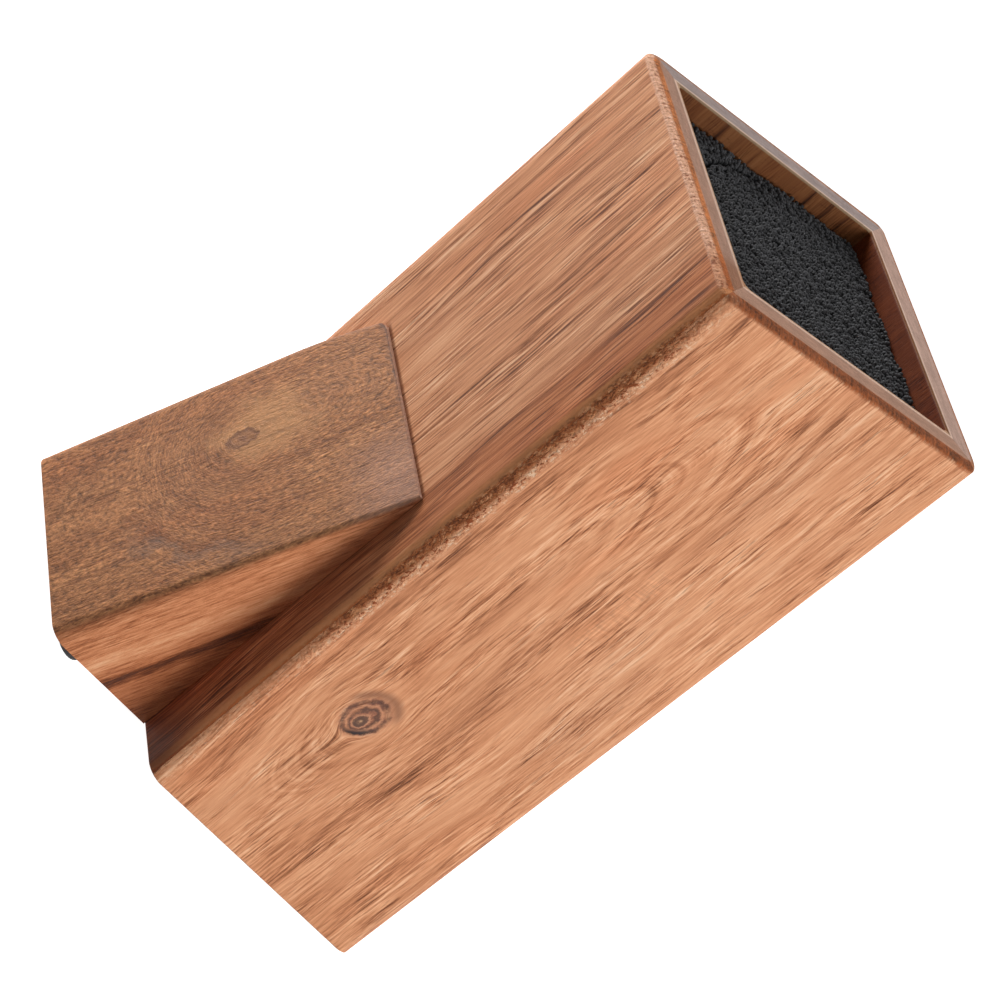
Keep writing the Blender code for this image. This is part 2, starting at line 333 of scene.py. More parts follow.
CORNERS = {
    "front_left": Corner(7.2, 4.6, 1.6),
    "front_right": Corner(5.0, 4.0, 1.7),
    "back_right": Corner(6.2, 2.9, 1.5),
    "back_left": Corner(3.0, 2.6, 2.1),
}
BOARD_ENDS = {
    "front": ("front_left", "front_right"),
    "right": ("front_right", "back_right"),
    "back": ("back_right", "back_left"),
    "left": ("back_left", "front_left"),
}
FOOT_TIP = 1.3 * MM
FOOT_RIGHT_RADII = (1.0 * MM, 5.0 * MM)  # of its long edges, at the crest and at the ground
FOOT_LEFT_RADII = (4.4 * MM, 5.0 * MM)
FOOT_FLARE = 3.7 * MM  # how far the right side runs out towards the crest
FOOT_SWEEP, FOOT_SWEEP_LENGTH = 3.0 * MM, 30 * MM  # how far the left side is rounded in towards the crest
FOOT_TIP_CORNER = 2.5 * MM
FOOT_BLANK = 90 * MM  # depth of the bar that the foot is cut from
FOOT_SOFTENING = 0.35 * MM
GAP = 0.3 * MM

LOW, HIGH = CAD_BOX
FOOT_LOW, FOOT_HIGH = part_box("support_foot")
UNDERSIDE = FOOT_LOW.z
HALF_WIDTH = HIGH.x
WALL = HALF_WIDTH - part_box("inner_base")[1].x - GAP

# The rim's sharp front corner and the tube's depth follow from the box that the leaning tube fills.
RIM_OVERHANG = CAD_RIM_RADIUS * (LEAN_SIN + LEAN_COS - 1)
RIM_FRONT = LOW.y - RIM_OVERHANG
BOX_DEPTH, BOX_HEIGHT = HIGH.y - RIM_FRONT, HIGH.z + RIM_OVERHANG - UNDERSIDE
TUBE_DEPTH = (BOX_DEPTH - BOX_HEIGHT * LEAN_SIN / LEAN_COS) / LEAN_COS
FRONT_LENGTH = (BOX_HEIGHT - TUBE_DEPTH * LEAN_SIN) / LEAN_COS
RIM_HEIGHT = UNDERSIDE + FRONT_LENGTH * LEAN_COS
RIM_CORNER = Vector((0, RIM_FRONT, RIM_HEIGHT))
INWARD = Vector((0, LEAN_COS, LEAN_SIN))
TUBE_AXES = (Vector((1, 0, 0)), INWARD, LIFT_AXIS)


def from_tube(across, depth, along):
    """A point given in the tube's own axes: across, back from the front face, and up from the rim."""
    return RIM_CORNER + Vector((across, 0, 0)) + INWARD * depth + LIFT_AXIS * along


def to_tube(point):
    return [(point - RIM_CORNER).dot(axis) for axis in TUBE_AXES]


def underside_at(depth):
    """How far down the tube's axis the flat underside lies, at a depth from the front face."""
    return -FRONT_LENGTH - depth * LEAN_SIN / LEAN_COS


FOOT_TOP = (RIM_HEIGHT - GAP * LEAN_SIN - FOOT_HIGH.z) / LEAN_COS
FOOT_SPREAD = math.radians(22.5)  # between the foot's outer face and the front board

# ---- Shapes

MIDDLE_DEPTH = TUBE_DEPTH / 2
INNER_CORNER = 0.5 * MM
MOUTH_CORNER = 2.6 * MM  # the mouth's inner corners are sanded rounder than the cavity below
MOUTH_CORNER_DROP = 4.0 * MM
BOTTOM_EDGE = 0.5 * MM
JOINT_GROOVE = 0.10 * MM
RIM_STEPS, MOUTH_STEPS, FLAT_STEPS, CORNER_STEPS = 10, 4, 6, 9
WALL_ROWS, WALL_COLUMNS = 60, 30
MITRE = math.pi / 4
SHARP_ANGLE, PAD_SHARP_ANGLE = 35, 50  # degrees; gentler edges are shaded smooth
WELD_DISTANCE = 0.002 * MM


def shaped_object(name, shape, sharp=SHARP_ANGLE):
    """An object from a bmesh, with its normals outward and only its real edges sharp."""
    bmesh.ops.recalc_face_normals(shape, faces=shape.faces)
    mesh = bpy.data.meshes.new(name)
    shape.to_mesh(mesh)
    shape.free()
    mesh.shade_smooth()
    mesh.set_sharp_from_angle(angle=math.radians(sharp))
    return add_object(name, mesh)


def welded_object(name, points, faces, sharp=SHARP_ANGLE):
    """An object from points and faces, with points that meet made one."""
    mesh = bpy.data.meshes.new(name + "_points")
    mesh.from_pydata([tuple(point) for point in points], [], faces)
    shape = bmesh.new()
    shape.from_mesh(mesh)
    bpy.data.meshes.remove(mesh)
    bmesh.ops.remove_doubles(shape, verts=shape.verts, dist=WELD_DISTANCE)
    return shaped_object(name, shape, sharp)


def ring_faces(one, other, sides):
    """The faces between two rings of points, given where each ring's points start."""
    for side in range(sides):
        after = (side + 1) % sides
        yield one + side, one + after, other + after, other + side


def dress(piece, body, look, material_slot, *nodes):
    piece.data.materials.append(look)
    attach(piece, body)
    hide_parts(*nodes)


def corner_radius(outer, depth, drop):
    """The radius of a contour's corner, that deep under the outer surface and that far down from the rim."""
    sanded = max(0.0, 1 - drop / MOUTH_CORNER_DROP) ** 2
    inner = INNER_CORNER + (MOUTH_CORNER - INNER_CORNER) * sanded
    return outer + (inner - outer) * depth / WALL


def board_profile(reach, fall):
    """A board's section, up its inner face, over the rim and down its outer face.

    Each point is (depth under the outer face, drop from the rim, share of the way down to the underside).
    """
    profile = [(WALL, MOUTH_CHAMFER, share) for share in np.linspace(1, 0, WALL_ROWS) ** 1.5]
    for turn in np.linspace(0, math.pi / 2, MOUTH_STEPS)[1:]:
        in_step, down_step = 1 - math.cos(turn), 1 - math.sin(turn)
        profile.append((WALL - MOUTH_CHAMFER * in_step, MOUTH_CHAMFER * down_step, 0))
    for depth in np.linspace(WALL - MOUTH_CHAMFER, reach, FLAT_STEPS)[1:-1]:
        profile.append((depth, 0, 0))
    for turn in np.linspace(0, math.pi / 2, RIM_STEPS):
        profile.append((reach * (1 - math.sin(turn)), fall * (1 - math.cos(turn)), 0))
    profile += [(0, fall, share) for share in np.linspace(0, 1, WALL_ROWS)[1:]]
    profile.append((BOTTOM_EDGE, fall, 1))
    return profile


def board_stations():
    """Places along a board from mitre to mitre, as (share of the straight part, turn round the corner)."""
    turns = [MITRE * step / CORNER_STEPS for step in range(CORNER_STEPS)] + [MITRE * 0.985, MITRE]
    stations = [(-1, -turn) for turn in reversed(turns)]
    stations += [(share, 0) for share in np.linspace(-1, 1, WALL_COLUMNS)[1:-1]]
    return stations + [(1, turn) for turn in turns]


def make_board(side, half, place):
    """One mitred board; place turns a point's place along the board and its depth into across and back."""
    stations = board_stations()
    first, last = (CORNERS[name] for name in BOARD_ENDS[side])
    points = []
    for share_along, turn in stations:
        reach = np.interp(share_along, (-1, 1), (first.reach, last.reach)) * MM
        profile = board_profile(reach, np.interp(share_along, (-1, 1), (first.drop, last.drop)) * MM)
        edge_radius = (last if share_along > 0 else first).edge * MM
        groove = JOINT_GROOVE if abs(turn) == MITRE else 0.0
        for depth, drop, share in profile:
            radius = corner_radius(edge_radius, depth, drop + share * FRONT_LENGTH)
            along = share_along * (half - depth - radius) + radius * math.sin(turn)
            sink = depth + radius * (1 - math.cos(turn))
            if depth < WALL / 2:
                along -= math.copysign(groove, along)
                sink += groove
            across, back = place(along, sink)
            edge = BOTTOM_EDGE if 0 < share and depth == 0 else 0.0
            start, end = -drop, underside_at(back) + edge
            points.append(from_tube(across, back, start + (end - start) * share))
    rows, columns = len(profile), len(stations)
    faces = [tuple(range(rows)), tuple(range((columns - 1) * rows, columns * rows))]
    for column in range(columns - 1):
        faces += ring_faces(column * rows, (column + 1) * rows, rows)
    return welded_object(f"{side}_board_wood", points, faces)


BOARD_PLACES = {
    "front": (HALF_WIDTH, lambda along, sink: (along, sink)),
    "right": (MIDDLE_DEPTH, lambda along, sink: (HALF_WIDTH - sink, MIDDLE_DEPTH + along)),
    "back": (HALF_WIDTH, lambda along, sink: (-along, TUBE_DEPTH - sink)),
    "left": (MIDDLE_DEPTH, lambda along, sink: (-HALF_WIDTH + sink, MIDDLE_DEPTH - along)),
}

# The foot's outer face runs from its thin top edge, the crest, to its front edge on the ground, the toe.
FOOT_CREST = from_tube(0, -FOOT_TIP, -FOOT_TOP)
FOOT_TOE = Vector((0, FOOT_LOW.y, UNDERSIDE))
FOOT_FACE = (FOOT_CREST - FOOT_TOE).length
FOOT_SLOPE = (FOOT_CREST - FOOT_TOE).normalized()
FOOT_INWARD = Vector((0, FOOT_SLOPE.z, -FOOT_SLOPE.y))
# Where it is given a section, in mm down from the crest: close together at the crest's rounded corner.
FOOT_SECTIONS = (*np.linspace(-10, -1, 4), *np.linspace(0, 2.5, 12), *np.linspace(4, 130, 54))


def slice_off(shape, place, outward):
    """Removes what lies beyond a plane and closes the cut."""
    geometry = shape.verts[:] + shape.edges[:] + shape.faces[:]
    cut = bmesh.ops.bisect_plane(shape, geom=geometry, plane_co=place, plane_no=outward, clear_outer=True)
    rim = [item for item in cut["geom_cut"] if isinstance(item, bmesh.types.BMEdge)]
    bmesh.ops.contextual_create(shape, geom=rim)


def foot_sides(drop):
    """X of the foot's left and right side at a distance down its outer face, from its crest."""
    swept = max(0.0, 1 - drop / FOOT_SWEEP_LENGTH) ** 2 * FOOT_SWEEP
    short = min(FOOT_TIP_CORNER, max(0.0, FOOT_TIP_CORNER - drop))
    corner = FOOT_TIP_CORNER - math.sqrt(FOOT_TIP_CORNER**2 - short**2)
    return FOOT_LOW.x + swept + corner, FOOT_HIGH.x - FOOT_FLARE * max(0.0, drop) / FOOT_FACE


def foot_outline(drop):
    """The foot's section, square to its outer face, at a distance down from its crest."""
    share = min(1.0, max(0.0, drop / FOOT_FACE))
    left, right = foot_sides(drop)
    outline = [(left, FOOT_BLANK), (right, FOOT_BLANK)]
    turns = np.linspace(0, math.pi / 2, RIM_STEPS)
    edges = ((right, -1, FOOT_RIGHT_RADII, turns), (left, 1, FOOT_LEFT_RADII, turns[::-1]))
    for edge, inward, (top, ground), order in edges:
        radius = top + (ground - top) * share
        for turn in order:
            outline.append((edge + inward * radius * (1 - math.cos(turn)), radius * (1 - math.sin(turn))))
    return outline


def make_foot():
    """A long bar with two rounded edges, cut by the front board's face, the foot's top and the ground."""
    shape = bmesh.new()
    rings = []
    for drop in FOOT_SECTIONS:
        middle = FOOT_CREST - FOOT_SLOPE * drop * MM
        places = [middle + Vector((x, 0, 0)) + FOOT_INWARD * depth for x, depth in foot_outline(drop * MM)]
        rings.append([shape.verts.new(place) for place in places])
    for one, other in zip(rings, rings[1:]):
        for index in range(len(one)):
            after = (index + 1) % len(one)
            shape.faces.new((one[index], one[after], other[after], other[index]))
    shape.faces.new(rings[0])
    shape.faces.new(rings[-1])
    bmesh.ops.recalc_face_normals(shape, faces=shape.faces)
    slice_off(shape, from_tube(0, -GAP, 0), INWARD)
    slice_off(shape, from_tube(0, 0, -FOOT_TOP), LIFT_AXIS)
    slice_off(shape, Vector((0, 0, UNDERSIDE)), Vector((0, 0, -1)))
    foot = shaped_object("support_foot_wood", shape)
    soften(foot, FOOT_SOFTENING)
    return foot


def soften(piece, width):
    """Breaks a piece's sharp edges by a hair, as sandpaper does."""
    bevel = piece.modifiers.new("soften", "BEVEL")
    bevel.width, bevel.segments, bevel.limit_method = width, 3, "ANGLE"
    bevel.angle_limit = math.radians(32)
    bevel.harden_normals = True


def make_block(name, low, high, corner, edge):
    """A flat block in the tube's axes with rounded corners and softened edges."""
    shape = bmesh.new()
    bmesh.ops.create_cube(shape, size=1)
    size = [top - bottom for bottom, top in zip(low, high)]
    for vertex in shape.verts:
        vertex.co = [bottom + (part + 0.5) * length for bottom, part, length in zip(low, vertex.co, size)]
    posts = [line for line in shape.edges if abs(line.verts[0].co.z - line.verts[1].co.z) > edge]
    bmesh.ops.bevel(shape, geom=posts, offset=corner, segments=5, profile=0.5, affect="EDGES")
    for vertex in shape.verts:
        vertex.co = from_tube(*vertex.co)
    block = shaped_object(name, shape)
    soften(block, edge)
    return block


def tube_box(node):
    """The lowest and highest corner of a CAD node in the tube's axes."""
    corners = np.array([to_tube(vertex.co) for vertex in frame["nodes"][node].data.vertices])
    return corners.min(0), corners.max(0)


PAD_RINGS, PAD_SIDES = 14, 48


def make_pad(node):
    """A low rubber dome with a flat foot, a moulded bead at its upper edge and a slightly slack outline."""
    low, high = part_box(node)
    middle_x, middle_y = (low.x + high.x) / 2, (low.y + high.y) / 2
    radius, height = (high.x - low.x) / 2, high.z - low.z
    profile = [(0, height), (radius * 0.9, height), (radius * 0.97, height * 0.97), (radius, height * 0.88)]
    profile += [(radius * 0.985, height * 0.78), (radius * 0.99, height * 0.68)]
    for turn in np.linspace(0, math.pi / 2, PAD_RINGS):
        profile.append((radius * (0.99 - 0.3 * (1 - math.cos(turn))), height * 0.62 * (1 - math.sin(turn))))
    profile += [(radius * 0.45, 0), (0, height * 0.04)]
    points, faces = [], []
    for distance, rise in profile:
        for turn in np.arange(PAD_SIDES) * math.tau / PAD_SIDES:
            x, y = middle_x + distance * math.cos(turn), middle_y + distance * math.sin(turn)
            points.append((x, y, low.z + rise))
    for ring in range(len(profile) - 1):
        faces += ring_faces(ring * PAD_SIDES, (ring + 1) * PAD_SIDES, PAD_SIDES)
    return welded_object(f"{node}_rubber", points, faces, PAD_SHARP_ANGLE)


# ---- Bristles

ROD_DIAMETER, ROD_PITCH = 1.32 * MM, 1.41 * MM
ROD_SIDES, ROD_SEED = 6, 11
SEAM_RADIUS, SEAM_EDGE = 36.5 * MM, -15.5 * MM
SEAM_PUSH, SEAM_REACH = 0.75 * MM, 4.0 * MM
TIP_SWELL, TIP_SCATTER = 0.65 * MM, 0.48 * MM  # how tip heights wander over the bundle, and from rod to rod
TIP_SWAY, ROD_SWAY = 0.35 * MM, 0.22 * MM  # how far tips lean, in drifts and rod by rod
SWELL_SIZE, SWAY_SIZE = 19 * MM, 7 * MM  # over what distance heights and leanings wander
SEAM_DROP = 0.35 * MM  # how much lower the tips are along the seam
FREE_END = 28.0 * MM  # the top stretch of a rod, which leans a little


def rod_places(low, high):
    """Where rods stand, across and back, in a close packing a little out of true."""
    row_step = ROD_PITCH * math.sqrt(3) / 2
    radius = ROD_DIAMETER / 2
    rows = int((high[1] - low[1] - ROD_DIAMETER) / row_step) + 1
    columns = int((high[0] - low[0] - ROD_DIAMETER) / ROD_PITCH) + 1
    spare = (high[1] - low[1] - ROD_DIAMETER - (rows - 1) * row_step) / 2
    for row in range(rows):
        for column in range(columns):
            across = low[0] + radius + (column + 0.5 * (row % 2)) * ROD_PITCH
            if across <= high[0] - radius:
                yield across, low[1] + radius + spare + row * row_step


def in_corner(across, back):
    """Whether a rod belongs to the small bundle in the left front corner."""
    out = math.hypot(across, back - MIDDLE_DEPTH)
    return across < SEAM_EDGE and back < MIDDLE_DEPTH and out > SEAM_RADIUS


def drift(across, back, size, seed):
    """Smooth noise between about -1 and 1 that varies over that size."""
    return noise.noise((across / size, back / size, seed)) * 1.6


def make_rods(name, wanted, places, bottom, top, chance):
    """The rods of one bundle as one mesh: each a thin six-sided rod with a domed tip."""
    rings, faces = [], []
    turns = [math.tau * side / ROD_SIDES for side in range(ROD_SIDES)]
    per_rod = 4 * ROD_SIDES + 1
    count = 0
    for across, back in places:
        height, turn, wobble = chance.random(), chance.random() * math.tau, chance.random()
        if in_corner(across, back) != wanted:
            continue
        tip = top + TIP_SWELL * drift(across, back, SWELL_SIZE, 3.1) + TIP_SCATTER * (2 * height - 1)
        sway_x = TIP_SWAY * drift(across, back, SWAY_SIZE, 8.4) + ROD_SWAY * math.cos(turn) * wobble
        sway_y = TIP_SWAY * drift(across, back, SWAY_SIZE, 5.7) + ROD_SWAY * math.sin(turn) * wobble
        out = math.hypot(across, back - MIDDLE_DEPTH)
        near = max(0.0, 1 - abs(out - SEAM_RADIUS) / SEAM_REACH)
        if near and across < 0 and back < MIDDLE_DEPTH + 4 * MM:
            push = SEAM_PUSH * near * (1 if out > SEAM_RADIUS else -1) / out
            sway_x += push * across
            sway_y += push * (back - MIDDLE_DEPTH)
            tip -= SEAM_DROP * near
        radius = ROD_DIAMETER / 2
        levels = (
            (bottom, radius, 0.0),
            (tip - FREE_END, radius, 0.0),
            (tip - radius * 0.75, radius, 1.0),
            (tip - radius * 0.22, radius * 0.68, 1.0),
        )
        for along, reach, lean in levels:
            x, y = across + sway_x * lean, back + sway_y * lean
            for part in turns:
                rings.append((x + reach * math.cos(part + turn), y + reach * math.sin(part + turn), along))
        rings.append((across + sway_x, back + sway_y, tip))
        base = count * per_rod
        for level in range(3):
            faces += ring_faces(base + level * ROD_SIDES, base + (level + 1) * ROD_SIDES, ROD_SIDES)
        for side in range(ROD_SIDES):
            last = base + 3 * ROD_SIDES
            faces.append((last + side, last + (side + 1) % ROD_SIDES, base + per_rod - 1))
        count += 1
    flat = np.array(rings)
    points = np.array(RIM_CORNER) + flat @ np.array(TUBE_AXES)
    mesh = bpy.data.meshes.new(name)
    mesh.from_pydata(points.tolist(), [], faces)
    mesh.shade_smooth()
    return add_object(name, mesh)


def make_insert(look):
    plate = make_block("insert_plate_moulding", *tube_box("insert_plate"), 1.5 * MM, 0.5 * MM)
    dress(plate, "insert", look, "black_bristle", "insert_plate")
    low, high = tube_box("bristles_main")
    bundles = (("bristle_rods", "bristles_main", False), ("bristle_rods_corner", "bristles_corner", True))
    for name, node, wanted in bundles:
        rods = make_rods(name, wanted, rod_places(low, high), low[2], high[2], random.Random(ROD_SEED))
        dress(rods, "insert", look, "black_bristle", node)


# ---- Materials


@dataclass
class Knot:
    across: float
    along: float
    radius: float
    stretch: float  # how much longer along the grain than across


@dataclass
class Streak:
    across: float
    half_width: float
    start: float  # along the grain
    end: float
    tone: float  # how much it lightens, or darkens when negative


@dataclass
class Timber:
    """A board's axes, in world directions, and its grain, in millimetres from its origin."""

    origin: Vector
    across: Vector
    inward: Vector
    grain: Vector
    seed: float
    heart: tuple  # across and along, where the growth rings lie nearest the face
    core: float  # how far the rings' centre lies under the face there
    taper: float  # how fast it sinks away from there
    taper_reach: float
    stops: list
    tone: float = 0.5
    rings: float = 0.16
    threads: float = 0.16
    fibre: float = 0.36
    pores: float = 0.7
    pebble: float = 0.0
    opens: float = 1.0  # the taper towards the rim, as a share of the taper towards the ground
    straight: float = 0.0  # how far the fine lines keep to the board's length instead of following the rings
    thread: tuple = (1.15, 48)  # width and length of a fine line
    dash: float = 6.0  # length of the fibres and pores
    stray: float = 0.7  # how far fine lines wander
    ripple: tuple = ()
    knots: tuple = ()
    streaks: tuple = ()
    side: str = ""  # which side of the tube it is
    finish: object = None  # paints what only this board has


def part_round(line, along, knot):
    """Grain lines moved sideways so that they part round a knot, as a stream parts round a pebble."""
    x, y = (along - knot.along) / knot.stretch, line - knot.across
    gap = x * x + y * y
    squeeze = (1 - 0.5 * knot.radius**2 / gap.most(1.0)).most(0.05)
    return knot.across + y * squeeze


def window(along, start, end, fade=14.0):
    """1 between two places along the grain, fading to 0 beyond them."""
    low, high = min(start, end), max(start, end)
    return along.rise(low - fade, low + fade) * along.rise(high + fade, high - fade)


@dataclass
class Surface:
    """What a board's finish draws on: its node tree, coordinates in millimetres, colour and relief."""

    tree: object
    across: Field
    inward: Field
    along: Field
    radius: Field  # distance from the middle of the growth rings
    point: Field
    colour: Field
    height: Field


def acacia(name, timber):
    made, tree, point = new_material(name)
    axes, seed = (timber.across, timber.inward, timber.grain), timber.seed
    across, inward, along = (place_along(tree, point, axis, timber.origin) for axis in axes)

    wander = cloud(tree, across / 38, inward / 38 + seed, along / 110) * 2.2
    wander = wander + cloud(tree, across / 6, inward / 6 - seed, along / 22) * timber.stray
    line = across + wander
    for knot in timber.knots:
        line = part_round(line, along, knot)

    away = along - timber.heart[1]
    drop = (away * timber.opens).most(away * -1.0).blend_least(timber.taper_reach, 8.0) * timber.taper
    offset = line - timber.heart[0]
    depth = (drop * drop + timber.core**2).root() + inward * 0.6
    radius = hypot(offset, depth)

    broad = cloud(tree, radius / 7.0, seed * 1.7, along / 260)
    middle = cloud(tree, radius / 2.3, seed * 2.3 + 5, along / 110)
    course = radius * (1 - timber.straight) + line * timber.straight
    threads = fine_cloud(tree, course / timber.thread[0], seed + 9, along / timber.thread[1])
    fibre = fine_cloud(tree, line / 0.6, inward / 0.6 + seed, along / timber.dash)
    patch = cloud(tree, line / 11, inward / 11 - seed, along / 38)
    crowd = cloud(tree, line / 8, inward / 8, along / 40).rise(-0.6, 0.7)
    tone = timber.tone + (broad * 0.9 + middle * 0.7) * timber.rings + patch * 0.08
    tone = tone + threads * (crowd * 1.2 + 0.4) * timber.threads + fibre * (crowd * 0.9 + 0.3) * timber.fibre
    for streak in timber.streaks:
        shape = line.near(streak.across, streak.half_width)
        tone = tone + shape * window(along, streak.start, streak.end) * streak.tone

    colour = ramp(tree, tone, timber.stops)
    hue = cloud(tree, line / 15, inward / 15 + seed * 3, along / 80)
    colour = tint(tree, hue.rise(0.0, 0.9) * 0.7, colour, REDDER)
    colour = tint(tree, hue.rise(0.0, -0.9) * 0.7, colour, GREYER)

    pore = cloud(tree, line / 0.6, inward / 0.6 - seed, along / (timber.dash * 0.85), detail=2, roughness=0.6)
    pores = pore.rise(0.20, 0.60) * (crowd * 0.8 + 0.2)
    colour = tint(tree, pores * timber.pores, colour, PORE_SHADE)
    height = fibre * 0.5 - pores * 1.2
    if timber.pebble:
        dimple = cloud(tree, radius / 0.6, across / 1.6, along / 1.6 + inward / 1.2, detail=2, roughness=0.7)
        colour = shade(tree, colour, 1 + dimple * timber.pebble)
        height = height + dimple * 0.9
    if timber.ripple:
        middle_line, half_width, start, end, strength = timber.ripple
        bars = cloud(tree, line / 5, seed, along / 1.1, detail=2)
        area = line.near(middle_line, half_width, half_width * 0.4) * window(along, start, end, 5.0)
        colour = shade(tree, colour, 1 + bars * area * strength)
        height = height + bars * area * 0.8
    for knot in timber.knots:
        colour, height = draw_knot(tree, colour, height, across, along, knot)
    face = Surface(tree, across, inward, along, radius, point, colour, height)
    if timber.side:
        finish_rim(face, timber.side)
        paint_inside_shade(face, timber.side)
    if timber.finish:
        timber.finish(face)

    roughness = 0.56 + fibre * 0.06 + pores * 0.2
    end_material(tree, face.colour, roughness, WOOD_SPECULAR, face.height, WOOD_RELIEF)
    return made


REDDER, GREYER, PORE_SHADE = (1.06, 0.92, 0.84), (0.90, 0.93, 0.97), (0.42, 0.36, 0.34)
WOOD_SPECULAR, WOOD_RELIEF = 0.15, 0.10 * MM
KNOT_STOPS = [
    (0.00, (190, 150, 112)),
    (0.08, (120, 84, 66)),
    (0.16, (86, 62, 50)),
    (0.27, (104, 72, 58)),
    (0.33, (196, 138, 104)),
    (0.39, (150, 96, 72)),
    (0.46, (92, 62, 50)),
    (0.54, (120, 78, 60)),
    (0.62, (190, 130, 98)),
    (0.70, (120, 76, 60)),
    (0.80, (84, 54, 44)),
    (0.88, (110, 70, 54)),
    (0.95, (176, 116, 88)),
    (1.00, (186, 122, 90)),
]


def draw_knot(tree, colour, height, across, along, knot):
    """A knot's own rings about an off-centre eye, with a dark crack on the side away from the rim."""
    x, y = (along - knot.along) / knot.stretch, across - knot.across
    ripple = cloud(tree, x / 2.4, y / 2.4, knot.across, detail=4, roughness=0.7)
    inner, outer = hypot(x, y) * 1.05, hypot(x - 0.22 * knot.radius, y)
    share = inner.rise(knot.radius * 0.3, knot.radius * 0.8)
    reach = (inner + (outer - inner) * share + ripple) / knot.radius
    rings = ramp(tree, reach, KNOT_STOPS)
    patchy = fine_cloud(tree, x / 3, y / 3, knot.along).rise(-0.7, 0.5) * 0.6 + 0.4
    inside = reach.rise(1.10, 0.85)
    colour = mix(tree, inside * (patchy + reach.rise(0.6, 0.4) * 0.4), colour, rings)
    side = (y * 0.45 - x * 0.89) / knot.radius
    crack = reach.near(0.70, 0.24, 0.08) * side.rise(0.22, 0.60)
    colour = mix(tree, crack * 0.95, colour, srgb(30, 24, 28))
    stain = (outer / knot.radius).near(1.15, 0.35) * x.rise(0.3 * knot.radius, 1.0 * knot.radius)
    colour = mix(tree, stain * 0.7, colour, srgb(126, 82, 60))
    return colour, height - crack * 2.0 - reach.near(0.38, 0.08) * inside * 0.8


LIGHT_STOPS = [
    (0.00, (84, 46, 28)),
    (0.20, (134, 80, 48)),
    (0.40, (185, 120, 81)),
    (0.55, (209, 143, 101)),
    (0.75, (228, 166, 124)),
    (1.00, (244, 194, 154)),
]
BROWN_STOPS = [
    (0.00, (74, 42, 25)),
    (0.22, (122, 76, 47)),
    (0.45, (164, 109, 70)),
    (0.65, (190, 131, 86)),
    (1.00, (222, 164, 112)),
]


@dataclass
class Side:
    """How one side of the tube is finished at the rim and inside."""

    oiled: tuple  # the colour of the band where oil sank in
    grey: tuple  # the colour of the end grain on top, greyed and lightened as a painted sheen
    inner: tuple  # how much the inner face is darkened, as painted shade
    torn: float  # strength of the band of torn fibres
    soaked: float  # strength of the oiled band
    bare: float = 0.0  # share of the rounding that the torn band takes


SIDES = {
    "front": Side((176, 104, 56), (168, 132, 114), (0.62, 0.50, 0.38), 1.0, 0.85, 0.5),
    "right": Side((132, 68, 32), (172, 134, 114), (0.62, 0.50, 0.38), 0.0, 0.9),
    "back": Side((150, 100, 72), (186, 155, 141), (0.22, 0.105, 0.04), 0.0, 0.5),
    "left": Side((130, 104, 92), (158, 145, 142), (0.37, 0.32, 0.22), 0.0, 0.6),
}
RIM_PINK, RIM_PIT, RIM_FLECK, RIM_LIP = (228, 174, 142), (150, 84, 52), (250, 208, 182), (236, 206, 186)


def stain(face, amount, colour, variation=None):
    """Lays a colour over the surface, as strongly as amount says, varied by a number about 0."""
    if not isinstance(colour, Field):
        colour = srgb(*colour)
    if variation is not None:
        colour = shade(face.tree, colour, 1 + variation)
    face.colour = mix(face.tree, amount, face.colour, colour)


def darken(face, amount, factors):
    face.colour = tint(face.tree, amount, face.colour, factors)


def patches(face, across, inward, along, **settings):
    """Noise over a board, with patches of those sizes along its axes."""
    x, y, z = face.across / across, face.inward / inward, face.along / along
    return cloud(face.tree, x, y, z, **settings)


def crumbs(face, size, stretch=1.0):
    """Coarse broken grain of torn fibres."""
    return patches(face, size, size, size * stretch, detail=3, roughness=0.75)


def depth_under(face, side):
    """How deep a point lies under the tube's outer surface, square to it round the eased edges too."""
    ends = BOARD_ENDS[side] if side in ("front", "right") else BOARD_ENDS[side][::-1]
    width = (2 * HALF_WIDTH if side in ("front", "back") else TUBE_DEPTH) / MM
    near, far = (CORNERS[name].edge for name in ends)
    depths = []
    for radius, from_end in ((near, face.across), (far, width - face.across)):
        sideways, down = (radius - from_end).most(0.0), (radius - face.inward).most(0.0)
        beyond = (face.inward - radius).most(0.0)
        depths.append(radius - hypot(sideways, down) + beyond)
    return depths[0].least(depths[1])


